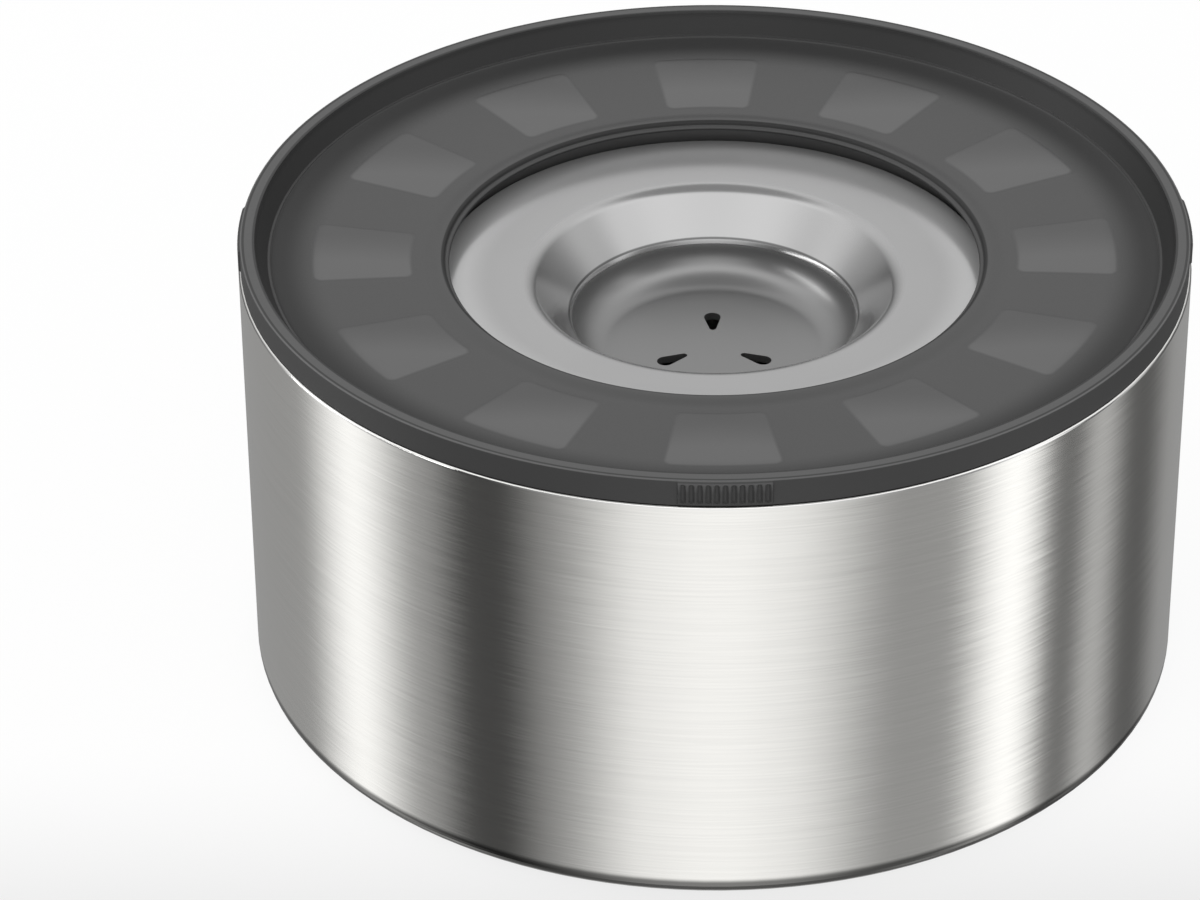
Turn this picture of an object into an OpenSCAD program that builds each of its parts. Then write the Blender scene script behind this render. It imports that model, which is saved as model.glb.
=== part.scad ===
// No-spill water bowl: a double-walled steel bowl, a push-in splash lid and a floating disc.
// The water that an animal can reach is only what comes up through the disc's holes.
// Lengths are in millimetres, +Z is up, and the bowl stands on the plane z = 0.

/* [Steel bowl] */
// Outer diameter of the steel drum
drum_d = 240; // [220:1:280]
// Height of the steel rim above the table
drum_h = 114; // [100:1:150]
// Thickness of the outer shell
shell_t = 0.8; // [0.5:0.1:1.2]
// Thickness of the inner liner
liner_t = 0.7; // [0.5:0.1:1.2]
// Air gap between the two walls
wall_gap = 2.7; // [1.5:0.1:6]
// Air gap between the base plate and the liner's floor
floor_gap = 3.9; // [2:0.1:10]
// Outer radius of the drum's lower corner
foot_corner_r = 3.8; // [2:0.1:6]
// Radius of the polished outer edge of the steel rim
rim_corner_r = 0.7; // [0.4:0.1:1.5]
// Inner radius between the liner's wall and its floor
liner_corner_r = 12; // [8:0.5:16]

/* [Base] */
// Width of the flat flange under the drum
base_flange_w = 8; // [4:0.5:15]
// Thickness of the base plate
base_plate_t = 0.7; // [0.5:0.1:1.5]
// Width of the welded lap between the base plate and the flange
base_lap = 3; // [1:0.5:4]
// Width of the anti-slip ring
base_pad_w = 38; // [10:1:60]
// Free margin round the anti-slip ring
base_pad_margin = 4; // [1:0.5:10]
// How far the anti-slip ring stands below the steel
base_pad_proud = 0.4; // [0.2:0.1:1.5]

/* [Lid] */
// Height of the lid's outer skirt
skirt_h = 6.8; // [5.8:0.1:10]
// How far the skirt stands back from the drum's side
skirt_inset = 0.6; // [0.2:0.1:1.5]
// Wall thickness of the lid
lid_t = 1.8; // [1.2:0.1:2.2]
// Width of the flat top of the rim
rim_w = 3.9; // [3.4:0.1:6]
// Radius of the rim's two top edges
rim_edge_r = 0.4; // [0.2:0.1:0.8]
// Height of the rim's sloping inner wall
well_wall_h = 5.6; // [4:0.1:6.5]
// How far that inner wall leans inwards at its foot
well_wall_lean = 2.9; // [1.5:0.1:4]
// Width of the flat ledge at the foot of the inner wall
ledge_w = 0.6; // [0.3:0.1:1.5]
// Width of the cove between the ledge and the deck
cove_w = 5; // [3:0.5:10]
// Height of that cove
cove_h = 1.5; // [1:0.1:3]
// How far the deck falls towards the mouth
deck_fall = 1.5; // [0.5:0.1:1.8]
// Diameter of the drinking mouth
mouth_d = 134; // [124:1:150]
// Width and height of the lip's rounded step down to the mouth
lip_r = 2; // [1.4:0.1:2.4]
// Radius of the small bead at the foot of that step
lip_bead_r = 0.8; // [0.4:0.1:1.2]
// Height of the lip's crest above the deck
lip_rise = 0.6; // [0.2:0.1:1.2]
// Width of the slope between the lip's crest and the deck
lip_slope_w = 5; // [3:0.5:7]
// Thickness of the plug that enters the liner
plug_t = 2.6; // [2.2:0.1:4]
// Radial gap between the plug and the liner
plug_clearance = 1.2; // [0.8:0.1:2]
// Gap between the lid and the steel rim at rest
seat_gap = 0.2; // [0.1:0.1:0.5]
// Thickness of the ribs under the deck
rib_t = 1.6; // [1:0.1:2.5]
// Depth of the ribs below the deck
rib_h = 5; // [2:0.5:8]

/* [Raised pads] */
// Number of raised pads on the deck, and of ribs below it
pad_count = 12; // [6:1:18]
// Angle that one pad covers
pad_angle = 16.5; // [8:0.5:18]
// Height of a pad above the deck
pad_h = 0.5; // [0.3:0.1:1]
// Distance from the mouth to a pad
pad_mouth_gap = 9.2; // [8:0.1:14]
// Distance from the foot of the inner wall to a pad
pad_wall_gap = 10.9; // [7:0.1:15]
// Radius of a pad's corners
pad_corner_r = 2.4; // [1:0.1:4]

/* [Grips] */
// Number of fluted grips round the skirt
grip_count = 4; // [2:1:8]
// Width of one grip
grip_w = 22.8; // [16:0.1:40]
// How far a grip stands out of the skirt
grip_proud = 0.6; // [0.4:0.1:1.5]
// Margin below a grip, and twice the margin of the flutes in it
grip_margin = 0.6; // [0.3:0.1:1.2]
// Number of flutes in one grip
flute_count = 11; // [5:1:14]
// Width of a flute
flute_w = 1.3; // [0.8:0.1:1.6]
// Depth of a flute
flute_depth = 0.4; // [0.2:0.1:0.8]

/* [Lid seal] */
// Depth of the seal's groove in the plug
seal_groove_d = 1.4; // [0.8:0.1:1.8]
// Height of the seal
seal_h = 6; // [4:0.5:8]
// Distance from the steel rim down to the seal
seal_drop = 3.6; // [2:0.1:5]
// Number of fins on the seal
seal_fins = 3; // [2:1:4]
// Thickness of a fin at its root
fin_t = 1; // [0.6:0.1:1.2]
// Gap between the fins and the liner
fin_clearance = 0.3; // [0.1:0.1:0.6]

/* [Float] */
// Wall thickness of both shells of the float
float_t = 2; // [1.4:0.1:2.4]
// How far the float can rise before it meets the lip
float_rise = 4.5; // [2:0.1:8]
// Gap that is left between the float and the lip at the top of its travel
rise_gap = 0.5; // [0.3:0.1:1]
// How far the float's raised ring reaches under the lip
lip_overlap = 4; // [2.5:0.1:6]
// Radial gap between the raised ring and the lid's collar
collar_clearance = 1; // [0.6:0.1:2]
// Radial gap between the float and the liner
float_clearance = 0.9; // [0.6:0.1:2]
// Radius of the raised ring's outer edge
ring_edge_r = 1; // [0.5:0.1:1.5]
// Height of the raised ring above the float's wide flange
ring_h = 11; // [8:0.5:16]
// Diameter of the funnel at the top
funnel_d = 93; // [85:1:110]
// Radius of the funnel's top edge
funnel_edge_r = 3; // [1:0.1:5]
// Depth of the funnel
funnel_h = 11; // [6:0.5:14]
// Diameter of the dish
dish_d = 72.2; // [60:0.1:78]
// Depth of the dish below the funnel
dish_h = 10; // [9.5:0.5:16]
// Radius between the dish's wall and its floor
dish_corner_r = 9; // [4:0.5:9]
// Radius of the tray's lower corner
tray_corner_r = 11; // [6:0.5:11]
// Width of the weld between the tray and the dish
tray_lap = 3; // [2:0.5:5]

/* [Water holes] */
// Number of water holes in the dish
hole_count = 3; // [2:1:6]
// Distance from the axis to the inner end of a hole
hole_start = 8; // [5:0.5:9]
// Length of a hole
hole_len = 8.5; // [6:0.5:10]
// Width of a hole's outer end
hole_wide = 4.3; // [3:0.1:5]
// Width of a hole's inner end
hole_narrow = 1.8; // [1:0.1:2.5]

/* [Hidden] */

$fn = 96;
// Straight steps that stand for one rounded corner of a section
corner_steps = 8;
// What a cut runs past the faces that it goes through
overrun = 1;

// Steel bowl
drum_r = drum_d / 2;
foot_z = base_pad_proud;
flange_top_z = foot_z + shell_t;
flange_in_r = drum_r - foot_corner_r - base_flange_w;
liner_out_r = drum_r - shell_t - wall_gap;
liner_in_r = liner_out_r - liner_t;
floor_under_z = flange_top_z + base_plate_t + floor_gap;
floor_z = floor_under_z + liner_t;
base_pad_out_r = flange_in_r - base_pad_margin;

// Lid, from the outside inwards
skirt_z = drum_h + seat_gap;
rim_z = skirt_z + skirt_h;
skirt_out_r = drum_r - skirt_inset;
skirt_in_r = skirt_out_r - lid_t;
rim_in_r = skirt_out_r - rim_w;
well_foot_r = rim_in_r - well_wall_lean;
well_foot_z = rim_z - well_wall_h;
deck_out_r = well_foot_r - ledge_w - cove_w;
deck_out_z = well_foot_z - cove_h;
mouth_r = mouth_d / 2;
crest_r = mouth_r + lip_r;
deck_in_r = crest_r + lip_slope_w;
deck_in_z = deck_out_z - deck_fall;
crest_z = deck_in_z + lip_rise;
lip_under_z = crest_z - lip_r;
step_r = lip_r / 2;
bead_r = min(lip_bead_r, step_r);
plug_out_r = liner_in_r - plug_clearance;
plug_in_r = plug_out_r - plug_t;
seal_top_z = drum_h - seal_drop;
seal_end_z = seal_top_z - seal_h;
seal_in_r = plug_out_r - seal_groove_d;

// Float, from the lip downwards
ring_top_z = lip_under_z - rise_gap - float_rise;
ring_out_r = mouth_r + lip_overlap;
collar_in_r = ring_out_r + collar_clearance;
collar_out_r = collar_in_r + lid_t;
flange_z = ring_top_z - ring_h;
plug_end_z = flange_z + float_rise + rise_gap;
float_r = liner_in_r - float_clearance;
funnel_r = funnel_d / 2;
dish_r = dish_d / 2;
dish_flat_r = dish_r - dish_corner_r;
dish_edge_z = ring_top_z - funnel_h;
dish_floor_z = dish_edge_z - dish_h;
tray_rim_z = flange_z - float_t;
tray_z = dish_floor_z - 2 * float_t;
tray_in_r = dish_flat_r - tray_lap;
funnel_angle = atan2(funnel_h, funnel_r - dish_r);

// Points of an arc round [x, y] from angle a0 to angle a1
function arc(x, y, radius, a0, a1, steps = corner_steps) =
    [for (i = [0 : steps]) let (a = a0 + (a1 - a0) * i / steps)
        [x + radius * cos(a), y + radius * sin(a)]];

// Height of the deck's sloping top at radius r
function deck_z(r) = deck_in_z + deck_fall * (r - deck_in_r) / (deck_out_r - deck_in_r);

// Half outline of a pad seen from above, from the middle of its outer side to the middle of its
// inner side, with its two corners rounded
function pad_half(in_r, out_r) =
    let (
        half = pad_angle / 2,
        c = pad_corner_r,
        out_a = half - asin(c / (out_r - c)),
        in_a = half - asin(c / (in_r + c)),
        out_c = (out_r - c) * [cos(out_a), sin(out_a)],
        in_c = (in_r + c) * [cos(in_a), sin(in_a)]
    )
    concat(
        [[out_r, 0], out_r * [cos(out_a / 2), sin(out_a / 2)]],
        arc(out_c.x, out_c.y, c, out_a, half + 90),
        arc(in_c.x, in_c.y, c, half + 90, in_a + 180),
        [in_r * [cos(in_a / 2), sin(in_a / 2)], [in_r, 0]]
    );

// Whole outline of a pad: the half outline and its mirror image
function pad_outline(in_r, out_r) =
    let (side = pad_half(in_r, out_r))
    concat(side, [for (i = [len(side) - 2 : -1 : 1]) [side[i].x, -side[i].y]]);

// Outline of a water hole that lies along +X, narrow at its inner end
function drop_outline() =
    let (
        in_r = hole_narrow / 2,
        out_r = hole_wide / 2,
        in_x = hole_start + in_r,
        out_x = hole_start + hole_len - out_r,
        a = 90 + asin((out_r - in_r) / (out_x - in_x))
    )
    concat(arc(out_x, 0, out_r, -a, a), arc(in_x, 0, in_r, a, 360 - a));

// The drum's outer shell: a rolled wall with its rim and its base flange turned inwards
module outer_shell() {
    corner_z = foot_z + foot_corner_r;
    color("silver")
        rotate_extrude()
            polygon(concat(
                [[flange_in_r, foot_z]],
                arc(drum_r - foot_corner_r, corner_z, foot_corner_r, -90, 0),
                arc(drum_r - rim_corner_r, drum_h - rim_corner_r, rim_corner_r, 0, 90),
                [[liner_out_r, drum_h], [liner_out_r, drum_h - shell_t]],
                [[drum_r - shell_t, drum_h - shell_t]],
                arc(drum_r - foot_corner_r, corner_z, foot_corner_r - shell_t, 0, -90),
                [[flange_in_r, flange_top_z]]
            ));
}

// The deep-drawn liner, whose top edge is welded into the outer shell's rim
module inner_liner() {
    corner_r = liner_in_r - liner_corner_r;
    corner_z = floor_z + liner_corner_r;
    color("gainsboro")
        rotate_extrude()
            polygon(concat(
                [[0, floor_under_z]],
                arc(corner_r, corner_z, liner_corner_r + liner_t, -90, 0),
                [[liner_out_r, drum_h], [liner_in_r, drum_h]],
                arc(corner_r, corner_z, liner_corner_r, 0, -90),
                [[0, floor_z]]
            ));
}

// The disc that closes the double wall from below, seated on the base flange
module base_plate() {
    color("darkgray")
        translate([0, 0, flange_top_z])
            cylinder(h = base_plate_t, r = flange_in_r + base_lap);
}

// The anti-slip ring in the recess inside the base flange
module base_pad() {
    color("dimgray")
        difference() {
            cylinder(h = flange_top_z, r = base_pad_out_r);
            translate([0, 0, -overrun])
                cylinder(h = flange_top_z + 2 * overrun, r = base_pad_out_r - base_pad_w);
        }
}

// Section of the lid without its pads, ribs and grips
module lid_section() {
    edge_steps = corner_steps / 2;
    channel_z = rim_z - lid_t - rim_edge_r;
    channel_r = well_foot_r + lid_t + well_wall_lean * (channel_z - well_foot_z) / well_wall_h;
    polygon(concat(
        // skirt and rim
        [[skirt_in_r, skirt_z], [skirt_out_r, skirt_z]],
        arc(skirt_out_r - rim_edge_r, rim_z - rim_edge_r, rim_edge_r, 0, 90, edge_steps),
        arc(rim_in_r + rim_edge_r, rim_z - rim_edge_r, rim_edge_r, 90, 180, edge_steps),
        // foot of the inner wall, the ledge and the cove
        [[well_foot_r, well_foot_z]],
        [for (i = [corner_steps : -1 : 0]) let (a = 90 * i / corner_steps)
            [deck_out_r + cove_w * sin(a), deck_out_z + cove_h * (1 - cos(a))]],
        // deck and the slope up to the lip
        [for (i = [0 : corner_steps - 1]) let (t = i / corner_steps)
            [deck_in_r - lip_slope_w * t, deck_in_z + lip_rise * (1 - cos(180 * t)) / 2]],
        // the lip's step and its bead
        arc(crest_r, crest_z - step_r, step_r, 90, 180),
        [[crest_r - step_r, lip_under_z + bead_r]],
        arc(mouth_r + bead_r, lip_under_z, bead_r, 90, 180),
        // collar and underside of the deck
        [[collar_in_r, lip_under_z], [collar_in_r, plug_end_z], [collar_out_r, plug_end_z]],
        [[collar_out_r, deck_z(collar_out_r) - lid_t], [deck_out_r, deck_out_z - lid_t]],
        // plug with the seal's groove
        [[plug_in_r, deck_out_z - lid_t], [plug_in_r, plug_end_z], [plug_out_r, plug_end_z]],
        [[plug_out_r, seal_end_z], [seal_in_r, seal_end_z], [seal_in_r, seal_top_z]],
        // channel between the inner wall and the skirt
        [[plug_out_r, seal_top_z], [plug_out_r, skirt_z], [channel_r, channel_z]],
        [[skirt_in_r, channel_z]]
    ));
}

// The raised pads, which follow the deck's slope
module pads() {
    in_r = mouth_r + pad_mouth_gap;
    out_r = well_foot_r - pad_wall_gap;
    slab_in_r = in_r - overrun;
    slab_out_r = out_r + overrun;
    intersection() {
        rotate_extrude()
            polygon([
                [slab_in_r, deck_z(slab_in_r) - lid_t / 2],
                [slab_out_r, deck_z(slab_out_r) - lid_t / 2],
                [slab_out_r, deck_z(slab_out_r) + pad_h],
                [slab_in_r, deck_z(slab_in_r) + pad_h]
            ]);
        for (i = [0 : pad_count - 1])
            rotate(i * 360 / pad_count)
                translate([0, 0, deck_in_z - lid_t])
                    linear_extrude(deck_fall + 2 * lid_t + pad_h)
                        polygon(pad_outline(in_r, out_r));
    }
}

// The ribs under the deck, one in each gap between two pads
module ribs() {
    in_r = (collar_in_r + collar_out_r) / 2;
    out_r = (plug_in_r + seal_in_r) / 2;
    low_z = deck_in_z - lid_t - rib_h;
    intersection() {
        rotate_extrude()
            polygon([
                [in_r, low_z],
                [out_r, low_z],
                [out_r, deck_out_z - lid_t / 2],
                [deck_out_r, deck_out_z - lid_t / 2],
                [in_r, deck_z(in_r) - lid_t / 2]
            ]);
        for (i = [0 : pad_count - 1])
            rotate((i + 0.5) * 360 / pad_count)
                translate([0, -rib_t / 2, low_z - overrun])
                    cube([drum_r, rib_t, rib_h + deck_fall + lid_t + 2 * overrun]);
    }
}

// Outline of a flute as it is seen from outside: straight sides and a round top
function flute_outline(h) =
    concat(
        [[-flute_w / 2, 0], [flute_w / 2, 0]],
        arc(0, h - flute_w / 2, flute_w / 2, 0, 180)
    );

// One fluted grip on the side of the skirt that faces +X
module grip() {
    out_r = skirt_out_r + grip_proud;
    low_z = skirt_z + grip_margin;
    high_z = rim_z - rim_edge_r;
    grip_angle = 2 * asin(grip_w / 2 / out_r);
    flute_pitch = grip_angle / (flute_count + 0.5);
    difference() {
        rotate(-grip_angle / 2)
            rotate_extrude(angle = grip_angle)
                translate([skirt_in_r + lid_t / 2, low_z])
                    square([out_r - skirt_in_r - lid_t / 2, high_z - low_z]);
        for (i = [0 : flute_count - 1])
            rotate((i - (flute_count - 1) / 2) * flute_pitch)
                translate([out_r - flute_depth, 0, low_z + grip_margin / 2])
                    rotate([90, 0, 90])
                        linear_extrude(flute_depth + overrun)
                            polygon(flute_outline(high_z - low_z - grip_margin));
    }
}

// The whole lid, one moulding
module lid_ring() {
    color("dimgray") {
        union() {
            rotate_extrude()
                lid_section();
            pads();
            ribs();
            for (i = [0 : grip_count - 1])
                rotate(i * 360 / grip_count)
                    grip();
        }
    }
}

// The silicone seal in the plug's groove, with fins that wipe the liner
module lid_seal() {
    tip_r = liner_in_r - fin_clearance;
    color("whitesmoke")
        rotate_extrude()
            polygon(concat(
                [[seal_in_r, seal_end_z], [plug_out_r, seal_end_z]],
                [for (i = [0 : seal_fins - 1])
                    let (z = seal_end_z + seal_h * (i + 0.5) / seal_fins)
                    each [
                        [plug_out_r, z - fin_t / 2], [tip_r, z - fin_t / 4],
                        [tip_r, z + fin_t / 4], [plug_out_r, z + fin_t / 2]
                    ]],
                [[plug_out_r, seal_top_z], [seal_in_r, seal_top_z]]
            ));
}

// The float's upper shell: dish, funnel, raised ring and wide flange, with the water holes
module float_deck() {
    corner_z = dish_floor_z + dish_corner_r;
    edge_r = funnel_r + funnel_edge_r * tan(funnel_angle / 2);
    edge_z = ring_top_z - funnel_edge_r;
    edge_a = 90 + funnel_angle;
    under_r = funnel_r + float_t * tan(funnel_angle / 2);
    under_z = dish_edge_z - float_t * tan((90 - funnel_angle) / 2);
    color("darkgray")
        difference() {
            rotate_extrude()
                polygon(concat(
                    // upper side, from the axis outwards
                    [[0, dish_floor_z]],
                    arc(dish_flat_r, corner_z, dish_corner_r, -90, 0),
                    [[dish_r, dish_edge_z]],
                    arc(edge_r, edge_z, funnel_edge_r, edge_a, 90),
                    arc(ring_out_r - ring_edge_r, ring_top_z - ring_edge_r, ring_edge_r, 90, 0),
                    [[ring_out_r, flange_z], [float_r, flange_z]],
                    // lower side, back to the axis
                    [[float_r, tray_rim_z], [ring_out_r - float_t, tray_rim_z]],
                    [[ring_out_r - float_t, ring_top_z - float_t]],
                    [[under_r, ring_top_z - float_t], [dish_r + float_t, under_z]],
                    arc(dish_flat_r, corner_z, dish_corner_r + float_t, 0, -90),
                    [[0, dish_floor_z - float_t]]
                ));
            for (i = [0 : hole_count - 1])
                rotate(90 + i * 360 / hole_count)
                    translate([0, 0, dish_floor_z - float_t - overrun])
                        linear_extrude(float_t + 2 * overrun)
                            polygon(drop_outline());
        }
}

// The float's lower shell, welded to the dish inside and to the flange outside
module float_tray() {
    corner_r = min(tray_corner_r, tray_rim_z - tray_z - float_t / 2);
    color("gray")
        rotate_extrude()
            polygon(concat(
                [[tray_in_r, tray_z]],
                arc(float_r - corner_r, tray_z + corner_r, corner_r, -90, 0),
                [[float_r, tray_rim_z], [float_r - float_t, tray_rim_z]],
                arc(float_r - corner_r, tray_z + corner_r, corner_r - float_t, 0, -90),
                [[tray_in_r, tray_z + float_t]]
            ));
}

outer_shell();
inner_liner();
base_plate();
base_pad();
lid_ring();
lid_seal();
float_deck();
float_tray();
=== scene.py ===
"""Looks of the no-spill water bowl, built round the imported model. Lengths are in metres."""

import math

import bpy
import numpy as np
from mathutils import Matrix, Vector


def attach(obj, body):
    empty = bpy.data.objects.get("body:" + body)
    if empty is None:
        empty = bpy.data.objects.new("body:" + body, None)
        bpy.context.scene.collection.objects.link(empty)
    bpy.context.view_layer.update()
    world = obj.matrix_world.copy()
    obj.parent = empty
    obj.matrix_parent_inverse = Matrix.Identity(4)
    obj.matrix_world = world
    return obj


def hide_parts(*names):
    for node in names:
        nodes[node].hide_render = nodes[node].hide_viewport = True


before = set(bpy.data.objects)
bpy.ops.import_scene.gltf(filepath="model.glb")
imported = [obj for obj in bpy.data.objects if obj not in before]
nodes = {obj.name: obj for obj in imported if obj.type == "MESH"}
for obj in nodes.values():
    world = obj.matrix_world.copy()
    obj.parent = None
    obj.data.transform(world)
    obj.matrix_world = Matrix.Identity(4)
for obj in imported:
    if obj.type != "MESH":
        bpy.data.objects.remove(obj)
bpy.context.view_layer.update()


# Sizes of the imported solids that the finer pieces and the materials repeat, in millimetres

SKIRT_LOW_Z, RIM_Z = 114.2, 121.0
SKIRT_IN_R, SKIRT_R = 117.6, 119.4
RIM_IN_R, RIM_EDGE_R = 115.5, 0.4
CHANNEL = ((114.6, 114.2), (116.16, 118.8), (117.6, 118.8))
WELL_FOOT = (112.6, 115.4)
COVE_W, COVE_H = 5, 1.5
DECK_OUT_R, DECK_OUT_Z = 107, 113.9
DECK_IN_R, DECK_IN_Z, DECK_FALL = 74, 112.4, 1.5
LIP_SLOPE_W, LIP_RISE = 5, 0.6
CREST_R, CREST_Z = 69, 113
STEP_R, BEAD_R = 1.0, 0.8
MOUTH_R, LIP_UNDER_Z = 67, 111
COLLAR_IN_R, COLLAR_OUT_R = 72, 73.8
PLUG_IN_R, PLUG_OUT_R, PLUG_END_Z = 112, 114.6, 100
SEAL_IN_R, SEAL_LOW_Z, SEAL_TOP_Z = 113.2, 104.4, 110.4

PAD_COUNT, PAD_PITCH = 12, 30
PAD_HALF_ANGLE, PAD_CORNER_R = 8.25, 2.4
PAD_MIDDLE_R, PAD_HALF_LENGTH = 88.95, 12.75
PAD_EDGE_H, PAD_CROWN_H = 0.08, 0.42

GRIP_PITCH, GRIP_R, GRIP_PROUD = 90, 119.7, 0.58
FLUTE_PITCH, FLUTES_PER_SIDE = 10.9 / 11.5, 5
FLUTE_R, FLUTE_DEPTH, FLUTE_TOP_Z = 0.65, 0.5, 119.65

FLOAT_R, FLOAT_FLANGE_Z, FLOAT_UNDER_Z = 114.9, 95, 93
RING_R, RING_TOP_Z, RING_EDGE_R = 71, 106, 1.0
FUNNEL_R, FUNNEL_RISE, FUNNEL_RUN, FUNNEL_EDGE_R = 46.5, 11, 10.4, 5
DISH_FLAT_R, DISH_CORNER_R, DISH_FLOOR_Z = 27.1, 9, 85
FLOAT_T = 2


# Mesh building, in millimetres

def arc(x, y, radius, start, end, steps):
    """Points of an arc round (x, y), with its angles in degrees."""
    angles = [math.radians(start + (end - start) * i / steps) for i in range(steps + 1)]
    return [(x + radius * math.cos(a), y + radius * math.sin(a)) for a in angles]


def line(a, b, steps):
    """Points from a to b, without a itself."""
    return [(a[0] + (b[0] - a[0]) * i / steps, a[1] + (b[1] - a[1]) * i / steps)
            for i in range(1, steps + 1)]


def ease(value, start, end):
    """0 where value is at start, 1 where it is at end, with a soft change between."""
    t = np.clip((value - start) / (end - start), 0.0, 1.0)
    return t * t * (3 - 2 * t)


class Shell:
    """Collects surfaces that go round the Z axis and makes one piece of them."""

    def __init__(self):
        self.verts = []
        self.faces = []

    def revolve(self, profile, angles, shape=None, first_cap=False, last_cap=False):
        """Turns a profile of (r, z), anticlockwise in its section, round the axis. shape
        changes r and z from arrays of r, z and angle."""
        start = len(self.verts)
        n = len(angles)
        r, a = np.meshgrid([q[0] for q in profile], angles, indexing="ij")
        z = np.meshgrid([q[1] for q in profile], angles, indexing="ij")[0]
        if shape:
            r, z = shape(r, z, a)
        x, y = r * np.cos(np.radians(a)), r * np.sin(np.radians(a))
        self.verts.extend(np.stack((x, y, z), axis=-1).reshape(-1, 3).tolist())
        for i in range(len(profile) - 1):
            for j in range(n):
                k = (j + 1) % n
                self.faces.append((start + i * n + j, start + i * n + k,
                                   start + (i + 1) * n + k, start + (i + 1) * n + j))
        if first_cap:
            self.faces.append(tuple(start + j for j in range(n - 1, -1, -1)))
        if last_cap:
            last = start + (len(profile) - 1) * n
            self.faces.append(tuple(last + j for j in range(n)))

    def prism(self, outline, low, high, angle=0.0):
        """An upright prism on an anticlockwise outline, turned round the axis."""
        start, n = len(self.verts), len(outline)
        c, d = math.cos(math.radians(angle)), math.sin(math.radians(angle))
        for z in (low, high):
            self.verts.extend((x * c - y * d, x * d + y * c, z) for x, y in outline)
        self.faces.append(tuple(start + i for i in range(n - 1, -1, -1)))
        self.faces.append(tuple(start + n + i for i in range(n)))
        for i in range(n):
            j = (i + 1) % n
            self.faces.append((start + i, start + j, start + n + j, start + n + i))

    def build(self, name, sharp=35.0):
        mesh = bpy.data.meshes.new(name)
        mesh.from_pydata([(x / 1000, y / 1000, z / 1000) for x, y, z in self.verts], [],
                         self.faces)
        mesh.shade_smooth()
        mesh.set_sharp_from_angle(angle=math.radians(sharp))
        obj = bpy.data.objects.new(name, mesh)
        bpy.context.scene.collection.objects.link(obj)
        return obj


def spread(parts):
    """Angles from a list of (end, step) stretches that starts at 0."""
    out, here = [], 0.0
    for end, step in parts:
        n = max(1, round((end - here) / step))
        out.extend(here + (end - here) * i / n for i in range(n))
        here = end
    return out


# Node building

class Tree:
    """Adds nodes and links to a node tree. A value is a number, a tuple or a socket."""

    def __init__(self, tree):
        self.tree = tree
        tree.nodes.clear()

    def add(self, kind, inputs=None, **props):
        node = self.tree.nodes.new(kind)
        for name, value in props.items():
            setattr(node, name, value)
        for name, value in (inputs or {}).items():
            self.put(node.inputs[name], value)
        return node

    def put(self, socket, value):
        if isinstance(value, bpy.types.NodeSocket):
            self.tree.links.new(value, socket)
        else:
            socket.default_value = value

    def math(self, op, *values):
        node = self.add("ShaderNodeMath", operation=op)
        for socket, value in zip(node.inputs, values):
            self.put(socket, value)
        return node.outputs[0]

    def product(self, a, b):
        return self.math("MULTIPLY", a, b)

    def vec(self, op, *values):
        node = self.add("ShaderNodeVectorMath", operation=op)
        for socket, value in zip(node.inputs, values):
            self.put(socket, value)
        return node.outputs["Value" if op == "LENGTH" else "Vector"]

    def scaled(self, vector, factor):
        node = self.add("ShaderNodeVectorMath", operation="SCALE")
        self.put(node.inputs[0], vector)
        self.put(node.inputs["Scale"], factor)
        return node.outputs["Vector"]

    def smooth(self, value, start, end, low=0.0, high=1.0):
        """low where value is at start, high where it is at end, with a soft change between."""
        node = self.add("ShaderNodeMapRange", interpolation_type="SMOOTHSTEP")
        if start > end:
            start, end, low, high = end, start, high, low
        for name, v in (("Value", value), ("From Min", start), ("From Max", end),
                        ("To Min", low), ("To Max", high)):
            self.put(node.inputs[name], v)
        return node.outputs["Result"]

    def mix(self, factor, a, b):
        node = self.add("ShaderNodeMix", data_type="FLOAT")
        for socket, value in zip(node.inputs[:1] + node.inputs[2:4], (factor, a, b)):
            self.put(socket, value)
        return node.outputs[0]

    def mix_color(self, factor, a, b):
        node = self.add("ShaderNodeMix", data_type="RGBA")
        self.put(node.inputs[0], factor)
        for socket, value in ((node.inputs[6], a), (node.inputs[7], b)):
            self.put(socket, value if isinstance(value, bpy.types.NodeSocket) else (*value, 1))
        return node.outputs[2]

    def noise(self, vector, scale=1.0, detail=2.0, roughness=0.5):
        node = self.add("ShaderNodeTexNoise", {
            "Vector": vector, "Scale": scale, "Detail": detail, "Roughness": roughness})
        return node.outputs["Fac"]

    def split(self, vector):
        return self.add("ShaderNodeSeparateXYZ", {"Vector": vector}).outputs

    def join(self, x, y, z):
        return self.add("ShaderNodeCombineXYZ", {"X": x, "Y": y, "Z": z}).outputs["Vector"]

    def position(self):
        return self.add("ShaderNodeTexCoord").outputs["Object"]


def material(name):
    """A new material with its tree and its main shader, linked to the output."""
    mat = bpy.data.materials.new(name)
    mat.use_nodes = True
    t = Tree(mat.node_tree)
    shader = t.add("ShaderNodeBsdfPrincipled")
    out = t.add("ShaderNodeOutputMaterial")
    t.put(out.inputs["Surface"], shader.outputs[0])
    return mat, t, shader


def dress(name, mat):
    """Gives every material slot of a CAD node the same material."""
    obj = nodes[name]
    if not obj.material_slots:
        obj.data.materials.append(mat)
    for s in obj.material_slots:
        s.material = mat


# Materials

def grey(level):
    return (level, level, level)


def round_coordinates(t):
    """Position, its parts and the distance from the axis."""
    p = t.position()
    x, y, z = t.split(p)
    r = t.math("SQRT", t.math("ADD", t.product(x, x), t.product(y, y)))
    return p, x, y, z, r


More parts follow.
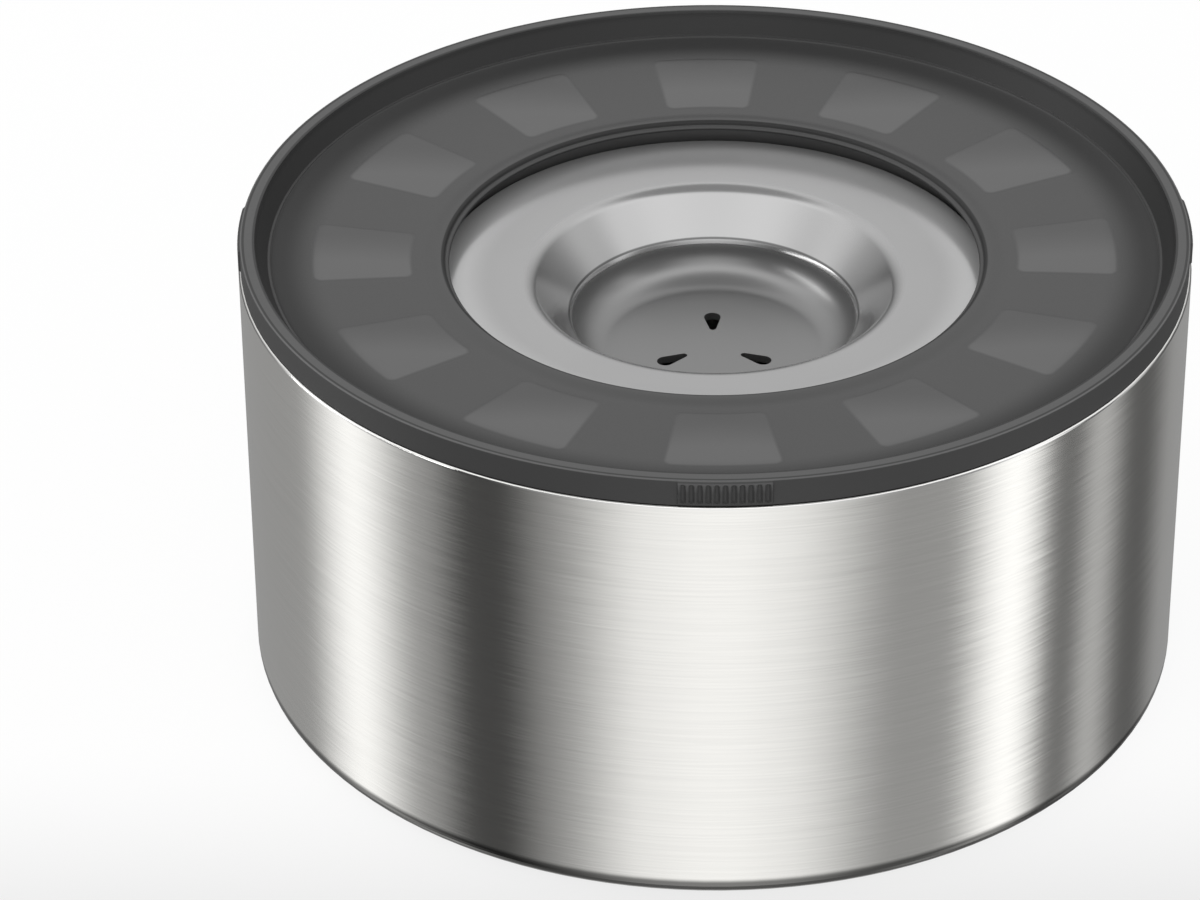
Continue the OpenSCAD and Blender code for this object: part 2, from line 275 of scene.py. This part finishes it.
def brushed_steel():
    """Stainless steel brushed round the drum, with a polished edge at the rim."""
    mat, t, shader = material("brushed_shell")
    p, x, y, z, _ = round_coordinates(t)
    around = t.vec("NORMALIZE", t.join(t.product(y, -1.0), x, 0.0))
    fine = t.noise(t.vec("MULTIPLY", p, (45.0, 45.0, 3600.0)), detail=3.0, roughness=0.6)
    broad = t.noise(t.vec("MULTIPLY", p, (30.0, 30.0, 900.0)), detail=2.0)
    tone = t.noise(t.vec("MULTIPLY", p, (28.0, 28.0, 2200.0)), detail=3.0)
    polish = t.smooth(z, 0.1130, 0.1136)
    # the brushing tilts the normal a little, along the direction round the drum
    turn = t.math("ADD", t.product(t.math("SUBTRACT", fine, 0.5), 0.06),
                  t.product(t.math("SUBTRACT", broad, 0.5), 0.004))
    turn = t.product(turn, t.math("SUBTRACT", 1.0, polish))
    normal = t.add("ShaderNodeNewGeometry").outputs["Normal"]
    normal = t.vec("NORMALIZE", t.vec("ADD", normal, t.scaled(around, turn)))
    # painted shade: the drum's lower corner is darker, standing in for a dark reflection near the
    # floor
    foot_shade = t.product(t.smooth(z, 0.0060, 0.0044), t.smooth(z, 0.0019, 0.0024))
    shade = t.product(t.smooth(tone, 0.3, 0.7, 0.955, 1.0), t.mix(foot_shade, 1.0, 0.22))
    color = t.mix_color(polish, (0.86, 0.852, 0.822), (0.80, 0.795, 0.78))
    color = t.vec("MULTIPLY", color, t.join(shade, shade, shade))
    tangent = t.add("ShaderNodeTangent", direction_type="RADIAL", axis="Z").outputs[0]
    rough = t.math("ADD", 0.145, t.product(fine, 0.04))
    for name, value in (("Base Color", color), ("Metallic", 1.0), ("Normal", normal),
                        ("Tangent", tangent), ("Anisotropic", 0.8),
                        ("Anisotropic Rotation", 0.25),
                        ("Roughness", t.mix(polish, rough, 0.12))):
        t.put(shader.inputs[name], value)
    return mat


def drawn_steel():
    """Satin steel of the liner and the base plate, with faint drawing marks."""
    mat, t, shader = material("drawn_liner")
    p, _, _, z, r = round_coordinates(t)
    marks = t.noise(t.vec("MULTIPLY", p, (130.0, 130.0, 14.0)), detail=4.0, roughness=0.6)
    rings = t.noise(t.join(t.product(r, 900.0), 0.0, t.product(z, 900.0)),
                    detail=2.0)
    height = t.math("ADD", t.product(marks, 0.00003), t.product(rings, 0.00002))
    bump = t.add("ShaderNodeBump", {"Height": height, "Strength": 0.5, "Distance": 1.0})
    color = t.mix_color(t.smooth(marks, 0.35, 0.65), (0.8, 0.795, 0.775), (0.86, 0.855, 0.84))
    for name, value in (("Base Color", color), ("Metallic", 1.0),
                        ("Normal", bump.outputs[0]),
                        ("Roughness", t.smooth(marks, 0.2, 0.8, 0.30, 0.38))):
        t.put(shader.inputs[name], value)
    return mat


def lid_plastic():
    """Dark moulded plastic with a fine satin grain. The raised pads are frosted with a painted
    sheen, and the rim's faces and edges, the grips, the well, its ledge, the lip and the collar
    carry painted light and shade."""
    mat, t, shader = material("lid_plastic")
    p, x, y, z, r = round_coordinates(t)
    corner, middle_r = PAD_CORNER_R / 1000, PAD_MIDDLE_R / 1000
    # distance to the outline of the nearest pad, below zero inside it
    angle = t.math("ARCTAN2", y, x)
    turned = t.math("WRAP", angle, math.radians(PAD_PITCH / 2),
                    math.radians(-PAD_PITCH / 2))
    across = t.math("SUBTRACT", t.product(t.math("ABSOLUTE", turned), r),
                    t.math("SUBTRACT", t.product(r, math.radians(PAD_HALF_ANGLE)), corner))
    along = t.math("SUBTRACT", t.math("ABSOLUTE", t.math("SUBTRACT", r, middle_r)),
                   PAD_HALF_LENGTH / 1000 - corner)
    outside = t.vec("LENGTH", t.join(t.math("MAXIMUM", across, 0.0),
                                     t.math("MAXIMUM", along, 0.0), 0.0))
    inside = t.math("MINIMUM", t.math("MAXIMUM", across, along), 0.0)
    edge = t.math("SUBTRACT", t.math("ADD", outside, inside), corner)
    pad = t.product(t.smooth(edge, 0.0001, -0.0012), t.smooth(z, 0.1119, 0.1122))
    # painted sheen: each pad is lighter towards the front
    middle = t.product(t.math("SINE", t.math("SUBTRACT", angle, turned)), middle_r)
    front_sheen = t.smooth(t.math("SUBTRACT", y, middle), 0.011, -0.009, 0.22, 1.15)
    frost_and_sheen = t.product(pad, front_sheen)
    grain = t.noise(p, scale=2600.0, detail=2.0)
    wave = t.noise(p, scale=60.0, detail=1.0)
    height = t.math("ADD", t.product(grain, 0.000012), t.product(wave, 0.00003))
    bump = t.add("ShaderNodeBump", {"Height": height, "Strength": 1.0, "Distance": 1.0})
    # painted light and shade on the rim: the skirt darker, the rim's top lighter, dark lines of
    # painted shade along its two edges and a painted highlight on the edge outside
    side = t.product(t.smooth(r, 0.1189, 0.1192), t.smooth(z, 0.1210, 0.1207))
    top = t.smooth(z, 0.12085, 0.12095)
    inner = t.product(t.smooth(r, 0.11640, 0.11615), t.smooth(z, 0.1204, 0.1207))
    outer = t.product(t.smooth(r, 0.1182, 0.1184), t.smooth(r, 0.1190, 0.1188))
    outer = t.product(outer, top)
    edge_highlight = t.product(t.smooth(r, 0.1189, 0.1191), t.smooth(z, 0.1207, 0.1209))
    # painted shade on the well's wall with its cove, and painted highlights on the ledge at its
    # foot and on the upper edge of the grips
    shaded_wall = t.product(t.smooth(r, 0.0985, 0.1095), t.smooth(z, 0.1206, 0.1204))
    ledge = t.product(t.smooth(r, 0.1116, 0.1119), t.smooth(r, 0.1127, 0.1125))
    ridge_highlight = t.product(t.smooth(r, 0.1196, 0.1199), t.smooth(z, 0.1175, 0.1200))
    # painted shade in the lip's step, a painted highlight on its bead and painted light on the
    # collar under it
    lip = t.product(t.smooth(r, 0.0692, 0.0688), t.smooth(z, 0.1108, 0.1110))
    bead = t.product(t.smooth(r, 0.0681, 0.0679), t.smooth(z, 0.1113, 0.1115))
    collar = t.product(t.smooth(z, 0.1109, 0.1107), t.smooth(r, 0.0732, 0.0726))
    # the pads are frosted, and lighter still where their painted sheen falls
    color = t.mix_color(frost_and_sheen, grey(0.0545), grey(0.098))
    # each mask paints its light or shade as a lighter or darker grey of the same plastic
    for mask, level in ((collar, 0.09), (shaded_wall, 0.017), (ledge, 0.045), (side, 0.038),
                        (ridge_highlight, 0.075), (top, 0.072), (edge_highlight, 0.110), (lip, 0.010),
                        (bead, 0.060), (t.math("MAXIMUM", inner, outer), 0.014)):
        color = t.mix_color(mask, color, grey(level))
    rough = t.mix(pad, t.smooth(grain, 0.3, 0.7, 0.33, 0.39), 0.30)
    rough = t.mix(t.math("MAXIMUM", t.math("MAXIMUM", side, shaded_wall), lip), rough, 0.55)
    for name, value in (("Base Color", color), ("Normal", bump.outputs[0]), ("IOR", 1.5),
                        ("Roughness", rough)):
        t.put(shader.inputs[name], value)
    return mat


def float_plastic():
    """Silver-grey satin plastic of the float, with a metal-like funnel and dish."""
    mat, t, shader = material("float_plastic")
    p, _, _, z, r = round_coordinates(t)
    grain = t.noise(p, scale=1500.0, detail=1.0)
    cloud = t.noise(p, scale=35.0, detail=2.0)
    height = t.product(grain, 0.000001)
    bump = t.add("ShaderNodeBump", {"Height": height, "Strength": 1.0, "Distance": 1.0})
    color = t.mix_color(t.smooth(cloud, 0.3, 0.7), grey(0.40), grey(0.412))
    # painted light: the ring is lighter than the funnel and the dish towards its outer part by
    # the lip, where the lid shades it; the funnel and the dish are more metallic
    ring = t.smooth(r, 0.0565, 0.0665, 1.0, 1.4)
    color = t.vec("MULTIPLY", color, t.join(ring, ring, ring))
    # painted shade: the dish is darker below its brim
    dish_shade = t.product(t.smooth(z, 0.0953, 0.0925), t.smooth(r, 0.0375, 0.0365))
    color = t.mix_color(dish_shade, color, grey(0.265))
    rough = t.mix(t.product(t.smooth(z, 0.0942, 0.0938), t.smooth(r, 0.0375, 0.0365)),
                  t.smooth(cloud, 0.3, 0.7, 0.19, 0.22), 0.33)
    metallic = t.smooth(r, 0.0490, 0.0470, 0.45, 0.8)
    # a dark line under the dish's brim
    brim = t.product(t.smooth(z, 0.0952, 0.0954), t.smooth(z, 0.0959, 0.0956))
    brim = t.product(brim, t.smooth(r, 0.0385, 0.0380))
    color = t.mix_color(brim, color, grey(0.13))
    for name, value in (("Base Color", color), ("Normal", bump.outputs[0]),
                        ("Metallic", metallic), ("IOR", 1.5),
                        ("Roughness", rough)):
        t.put(shader.inputs[name], value)
    return mat


def silicone(name, dark, light, rough):
    """Matte silicone with a slight mottle."""
    mat, t, shader = material(name)
    p = t.position()
    mottle = t.noise(p, scale=90.0, detail=3.0)
    skin = t.noise(p, scale=1800.0, detail=2.0)
    bump = t.add("ShaderNodeBump", {"Height": t.product(skin, 0.00003),
                                    "Strength": 1.0, "Distance": 1.0})
    color = t.mix_color(t.smooth(mottle, 0.3, 0.7), dark, light)
    for key, value in (("Base Color", color), ("Normal", bump.outputs[0]), ("IOR", 1.42),
                       ("Roughness", t.smooth(skin, 0.2, 0.8, rough, rough + 0.1))):
        t.put(shader.inputs[key], value)
    return mat


steel = brushed_steel()
drawn = drawn_steel()
lid_mat = lid_plastic()
float_mat = float_plastic()
dress("outer_shell", steel)
dress("inner_liner", drawn)
dress("base_plate", drawn)
dress("base_pad", silicone("base_silicone", (0.035, 0.035, 0.036), (0.045, 0.045, 0.046), 0.6))
dress("lid_ring", lid_mat)
dress("lid_seal", silicone("seal_silicone", (0.62, 0.62, 0.61), (0.68, 0.68, 0.67), 0.45))
dress("float_deck", float_mat)
dress("float_tray", float_mat)


# Pieces that stand for two of the solids, with softer and finer edges

def pad_height(r, a):
    """Height of the twelve raised pads, with soft sides and a slight crown."""
    turn = np.abs((a + PAD_PITCH / 2) % PAD_PITCH - PAD_PITCH / 2)
    across = np.radians(turn) * r - (r * math.radians(PAD_HALF_ANGLE) - PAD_CORNER_R)
    along = np.abs(r - PAD_MIDDLE_R) - (PAD_HALF_LENGTH - PAD_CORNER_R)
    edge = (np.hypot(np.maximum(across, 0), np.maximum(along, 0))
            + np.minimum(np.maximum(across, along), 0) - PAD_CORNER_R)
    u = np.clip((r - PAD_MIDDLE_R) / PAD_HALF_LENGTH, -1, 1)
    v = np.clip(turn / PAD_HALF_ANGLE, -1, 1)
    return PAD_EDGE_H * ease(edge, 0.35, -0.75) + PAD_CROWN_H * (1 - u * u) * (1 - v * v)


def deck_shape(r, z, a):
    """The deck with its raised pads."""
    return r, np.where((r > 75) & (r < 103.5), z + pad_height(r, a), z)


def grip_shape(r, z, a):
    """The four fluted grips on the skirt."""
    turn = (a + GRIP_PITCH / 2) % GRIP_PITCH - GRIP_PITCH / 2
    side = np.abs(np.radians(turn)) * GRIP_R
    body = ease(side, 11.4, 10.9) * ease(z, 114.6, 114.9) * (1 - ease(z, 120.2, 120.9))
    near = np.round(turn / FLUTE_PITCH)
    near = np.clip(near, -FLUTES_PER_SIDE, FLUTES_PER_SIDE) * FLUTE_PITCH
    u = np.radians(turn - near) * GRIP_R
    v = np.maximum(z - FLUTE_TOP_Z, 0)
    round_in = np.sqrt(np.clip(1 - (u * u + v * v) / FLUTE_R ** 2, 0, 1))
    flute = round_in * ease(z, 115.0, 115.3)
    outside = r > SKIRT_R - 0.1
    return np.where(outside, r + body * GRIP_PROUD - flute * body * FLUTE_DEPTH, r), z


def make_lid():
    """The splash lid: rim with skirt and grips, deck with pads, lip, and its underside."""
    shell = Shell()
    # steps round the lid are fine across a grip, and steps up the skirt at its ends
    quarter = spread(((5.7, 0.095), (84.3, 2.0), (90.0, 0.095)))
    around = [q + GRIP_PITCH * i for i in range(360 // GRIP_PITCH) for q in quarter]
    heights = [SKIRT_LOW_Z, 114.6, 114.7, 114.8, 114.9, 115.0, 115.05, 115.1, 115.2, 115.3, 115.4,
               116.0, 117.5, 119.0, 119.4, 119.6, 119.7, 119.8, 119.9, 120.0, 120.1, 120.2, 120.3,
               120.45]
    edge_z = RIM_Z - RIM_EDGE_R
    outer_r, inner_r = SKIRT_R - RIM_EDGE_R, RIM_IN_R + RIM_EDGE_R
    shell.revolve(
        [(SKIRT_IN_R, SKIRT_LOW_Z)] + [(SKIRT_R, h) for h in heights]
        + arc(outer_r, edge_z, RIM_EDGE_R, 0, 90, 5) + line((outer_r, RIM_Z), (inner_r, RIM_Z), 3)
        + arc(inner_r, edge_z, RIM_EDGE_R, 90, 180, 5)[1:]
        + line((RIM_IN_R, edge_z), WELL_FOOT, 4),
        around, grip_shape)
    # steps round the deck are fine at the sides of a pad, and steps across it at its ends
    part = spread(((5.6, 1.4), (9.2, 0.2), (20.8, 1.45), (24.4, 0.2), (30.0, 1.4)))
    around = [q + PAD_PITCH * i for i in range(PAD_COUNT) for q in part]
    cove = [(DECK_OUT_R + COVE_W * math.sin(math.radians(t)),
             DECK_OUT_Z + COVE_H * (1 - math.cos(math.radians(t)))) for t in range(90, -1, -6)]
    radii = ([105, 103.4] + [102.6 - 0.3 * i for i in range(16)] + [97.2, 96, 94, 91, 88, 85, 83,
             81.5, 80.6] + [80.2 - 0.3 * i for i in range(16)] + [75.0])
    deck = [(r, DECK_IN_Z + DECK_FALL * (r - DECK_IN_R) / (DECK_OUT_R - DECK_IN_R))
            for r in radii]
    slope = [(DECK_IN_R - LIP_SLOPE_W * t, DECK_IN_Z + LIP_RISE / 2 * (1 - math.cos(math.pi * t)))
             for t in (i / 12 for i in range(12))]
    shell.revolve(
        [WELL_FOOT] + cove + deck + slope + arc(CREST_R, CREST_Z - STEP_R, STEP_R, 90, 180, 8)
        + arc(MOUTH_R + BEAD_R, LIP_UNDER_Z, BEAD_R, 90, 180, 8), around, deck_shape)
    # underside: collar, deck, plug with the seal's groove, and the channel inside the rim
    under = [(MOUTH_R, LIP_UNDER_Z), (COLLAR_IN_R, LIP_UNDER_Z), (COLLAR_IN_R, PLUG_END_Z),
             (COLLAR_OUT_R, PLUG_END_Z), (COLLAR_OUT_R, 110.59), (DECK_OUT_R, 112.1),
             (PLUG_IN_R, 112.1), (PLUG_IN_R, PLUG_END_Z), (PLUG_OUT_R, PLUG_END_Z),
             (PLUG_OUT_R, SEAL_LOW_Z), (SEAL_IN_R, SEAL_LOW_Z), (SEAL_IN_R, SEAL_TOP_Z),
             (PLUG_OUT_R, SEAL_TOP_Z), *CHANNEL, (SKIRT_IN_R, SKIRT_LOW_Z)]
    shell.revolve(under, [i * 2.0 for i in range(180)])
    rib = [(72.9, -0.8), (112.6, -0.8), (112.6, 0.8), (72.9, 0.8)]
    for i in range(PAD_COUNT):
        shell.prism(rib, 105.6, 111.8, PAD_PITCH * (i + 0.5))
    return shell.build("splash_lid")


def drop_outline(start=8.0, length=8.5, wide=2.15, narrow=0.9, steps=14):
    """Outline of a water hole along +X, from its length and the radii of its two ends."""
    inner, outer = start + narrow, start + length - wide
    a = 90 + math.degrees(math.asin((wide - narrow) / (outer - inner)))
    return arc(outer, 0, wide, -a, a, steps) + arc(inner, 0, narrow, a, 360 - a, steps)


def make_float():
    """The float's upper shell with its dish, funnel, raised ring, flange and water holes."""
    shell = Shell()
    slope = math.atan2(FUNNEL_RISE, FUNNEL_RUN)
    edge_r = FUNNEL_R + FUNNEL_EDGE_R * math.tan(slope / 2)
    edge_z = RING_TOP_Z - FUNNEL_EDGE_R
    dish_z = DISH_FLOOR_Z + DISH_CORNER_R
    ring_r = RING_R - RING_EDGE_R
    axis_r = 0.6
    # lower side, outwards from the axis
    profile = [(axis_r, DISH_FLOOR_Z - FLOAT_T)]
    profile += arc(DISH_FLAT_R, dish_z, DISH_CORNER_R + FLOAT_T, -90, 0, 16)
    profile += [(38.1, 94.2), (47.36, RING_TOP_Z - FLOAT_T), (69, RING_TOP_Z - FLOAT_T),
                (69, FLOAT_UNDER_Z), (FLOAT_R, FLOAT_UNDER_Z)]
    # flange, with a fillet at the ring's foot, and the ring
    profile += arc(FLOAT_R - 0.4, FLOAT_FLANGE_Z - 0.4, 0.4, 0, 90, 4)
    profile += [(71.3, FLOAT_FLANGE_Z)] + arc(71.4, FLOAT_FLANGE_Z + 0.4, 0.4, 270, 180, 4)
    profile += arc(ring_r, RING_TOP_Z - RING_EDGE_R, RING_EDGE_R, 0, 90, 8)
    profile += line((ring_r, RING_TOP_Z), (edge_r, RING_TOP_Z), 4)
    # funnel with its round edge, and a point that keeps its wall straight for the shading
    profile += arc(edge_r, edge_z, FUNNEL_EDGE_R, 90, 90 + math.degrees(slope), 16)[1:]
    profile += [(edge_r - FUNNEL_EDGE_R * math.sin(slope) - 0.3 * math.cos(slope),
                 edge_z + FUNNEL_EDGE_R * math.cos(slope) - 0.3 * math.sin(slope))]
    # bevel at the dish's brim, and the dish
    profile += [(36.9, 95.566)] + arc(41.15, 92.121, 5.5, 144, 156, 6)
    profile += arc(36.4, 94.236, 0.3, 156, 180, 4)[1:]
    profile += arc(DISH_FLAT_R, dish_z, DISH_CORNER_R, 0, -90, 24)
    profile += line((DISH_FLAT_R, DISH_FLOOR_Z), (axis_r, DISH_FLOOR_Z), 3)
    shell.revolve(profile, [i * 1.875 for i in range(192)], first_cap=True, last_cap=True)
    piece = shell.build("float_top")
    cutter = Shell()
    for i in range(3):
        cutter.prism(drop_outline(), 82, 86, 90 + 120 * i)
    tool = cutter.build("float_hole_cutter")
    cut = piece.modifiers.new("holes", "BOOLEAN")
    cut.operation, cut.solver, cut.object = "DIFFERENCE", "EXACT", tool
    view = bpy.context.evaluated_depsgraph_get()
    mesh = bpy.data.meshes.new_from_object(piece.evaluated_get(view))
    piece.modifiers.remove(cut)
    piece.data = mesh
    bpy.data.objects.remove(tool)
    mesh.set_sharp_from_angle(angle=math.radians(35))
    return piece


def install(piece, node, body, mat):
    """Puts a piece in a CAD node's place, on that node's body and with its material slot."""
    piece.data.materials.clear()
    piece.data.materials.append(mat)
    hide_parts(node)
    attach(piece, body)


install(make_lid(), "lid_ring", "lid", lid_mat)
install(make_float(), "float_deck", "float", float_mat)


# Floor

def make_floor():
    """A pale floor that shows almost white and keeps the object's shadow, with a painted shadow
    in front of the object.
    """
    n, size = 64, 6.0
    verts = [(0, 0, 0)] + [(size * math.cos(2 * math.pi * i / n),
                            size * math.sin(2 * math.pi * i / n), 0) for i in range(n)]
    mesh = bpy.data.meshes.new("floor")
    mesh.from_pydata(verts, [], [(0, i + 1, (i + 1) % n + 1) for i in range(n)])
    obj = bpy.data.objects.new("floor", mesh)
    bpy.context.scene.collection.objects.link(obj)
    mat = bpy.data.materials.new("floor")
    mat.use_nodes = True
    t = Tree(mat.node_tree)
    path = t.add("ShaderNodeLightPath").outputs
    seen = t.math("MAXIMUM", path["Is Camera Ray"],
                  t.math("MAXIMUM", path["Is Glossy Ray"], path["Is Transmission Ray"]))
    matte = t.add("ShaderNodeBsdfDiffuse", {"Color": (0.8, 0.8, 0.8, 1)})
    # painted shadow: the white is dimmer in front of the object and fades out further away
    y = t.split(t.position())[1]
    away = t.smooth(t.vec("LENGTH", t.position()), 0.30, 0.60)
    shaded_glow = t.mix(away, t.smooth(y, -0.19, -0.05, 0.74, 1.03), 1.03)
    white = t.add("ShaderNodeEmission", {"Color": (1, 1, 1, 1), "Strength": shaded_glow})
    blend = t.add("ShaderNodeMixShader")
    t.put(blend.inputs[0], t.product(seen, 0.86))
    t.put(blend.inputs[1], matte.outputs[0])
    t.put(blend.inputs[2], white.outputs[0])
    out = t.add("ShaderNodeOutputMaterial")
    t.put(out.inputs["Surface"], blend.outputs[0])
    obj.data.materials.append(mat)
    # the drum's mirror-like side shows the studio's panels instead of the floor
    obj.visible_glossy = False
    return obj


make_floor()


# Studio

# Panels and gaps of the studio round the object, in degrees from the front towards the right:
# start and end of the first edge, start and end of the second edge, level between them
PANELS = (
    (-122, -98, -100, -76, 1.2),
    (-77, -62, -55, -37, 0.055),
    (-42, -17, 16, 46, 0.9),
    (-26, -2, 2, 24, 1.06),
    (57, 77, 77, 91, 1.3),
    (84, 92, 95, 103, 0.13),
    (98, 106, 106, 116, 0.52),
    (110, 121, 127, 147, 0.10),
)
# Level of what no panel covers, and of the even light on matt surfaces
GAP_LEVEL, MATT_LEVEL = 0.32, 0.85


def make_world():
    """White for the camera, soft even light for matt surfaces, and a studio with panels and
    gaps between them for reflections."""
    world = bpy.data.worlds.new("studio")
    bpy.context.scene.world = world
    world.use_nodes = True
    t = Tree(world.node_tree)
    x, y, z = t.split(t.add("ShaderNodeTexCoord").outputs["Generated"])
    azimuth = t.product(t.math("ARCTAN2", x, t.product(y, -1.0)), 180 / math.pi)
    level = GAP_LEVEL
    for a, b, c, d, value in PANELS:
        weight = t.product(t.smooth(azimuth, a, b), t.smooth(azimuth, d, c))
        level = t.mix(weight, level, value)
    # dim straight below, dark low behind, bright above and mostly in front, dim at the zenith
    level = t.mix(t.smooth(z, -0.84, -0.96), level, 0.30)
    behind = t.product(t.smooth(z, -0.35, -0.15), t.smooth(z, 0.25, 0.05))
    level = t.mix(t.product(behind, t.smooth(y, 0.3, 0.7)), level, 0.10)
    top = t.mix(t.smooth(y, 0.6, -0.5), 1.12, 1.78)
    rise = t.mix(t.smooth(y, 0.3, -0.4), t.smooth(z, 0.05, 0.75), t.smooth(z, 0.5, 0.78))
    level = t.mix(rise, level, top)
    level = t.mix(t.smooth(z, 0.83, 0.93), level, 0.40)
    path = t.add("ShaderNodeLightPath").outputs
    level = t.mix(path["Is Glossy Ray"], MATT_LEVEL, level)
    shown = t.math("MAXIMUM", path["Is Camera Ray"], path["Is Transmission Ray"])
    level = t.mix(shown, level, 1.0)
    back = t.add("ShaderNodeBackground", {"Color": (1, 1, 1, 1), "Strength": level})
    out = t.add("ShaderNodeOutputWorld")
    t.put(out.inputs["Surface"], back.outputs[0])


make_world()


def softbox(name, place, target, size, power):
    """A rectangular lamp at a place, turned towards a target."""
    light = bpy.data.lights.new(name, "AREA")
    light.shape = "RECTANGLE"
    light.size, light.size_y = size
    light.energy = power
    obj = bpy.data.objects.new(name, light)
    obj.location = place
    obj.rotation_mode = "QUATERNION"
    obj.rotation_quaternion = (Vector(target) - Vector(place)).to_track_quat("-Z", "Y")
    bpy.context.scene.collection.objects.link(obj)
    return obj


key = softbox("key_softbox", (-0.9, 0.5, 1.9), (0, 0, 0.1), (1.0, 0.8), 7.0)
key.visible_glossy = False
side = softbox("side_softbox", (-1.6, -0.15, 0.64), (0, 0, 0.1), (1.5, 0.24), 4.5)
side.visible_diffuse = False


# Camera

# The frame's width and the focal length, both in the photograph's pixels
FRAME_WIDTH, FOCAL_LENGTH = 1200, 4974.6


def make_camera():
    """The photograph's viewpoint, for a frame of 1200 by 900."""
    pitch, yaw, roll = (math.radians(v) for v in (32.556, -0.145, -0.548))
    forward = Vector((math.sin(yaw) * math.cos(pitch), math.cos(yaw) * math.cos(pitch),
                      -math.sin(pitch)))
    right0 = Vector((math.cos(yaw), -math.sin(yaw), 0))
    up0 = right0.cross(forward)
    right = math.cos(roll) * right0 + math.sin(roll) * up0
    up = -math.sin(roll) * right0 + math.cos(roll) * up0
    data = bpy.data.cameras.new("camera")
    data.sensor_fit = "HORIZONTAL"
    data.sensor_width = 36.0
    data.lens = data.sensor_width * FOCAL_LENGTH / FRAME_WIDTH
    data.clip_start, data.clip_end = 0.05, 30.0
    obj = bpy.data.objects.new("camera", data)
    matrix = Matrix((right, up, -forward)).transposed().to_4x4()
    matrix.translation = (-0.02655, -1.08637, 0.74731)
    obj.matrix_world = matrix
    bpy.context.scene.collection.objects.link(obj)
    bpy.context.scene.camera = obj


make_camera()
bpy.context.scene.view_settings.view_transform = "Standard"
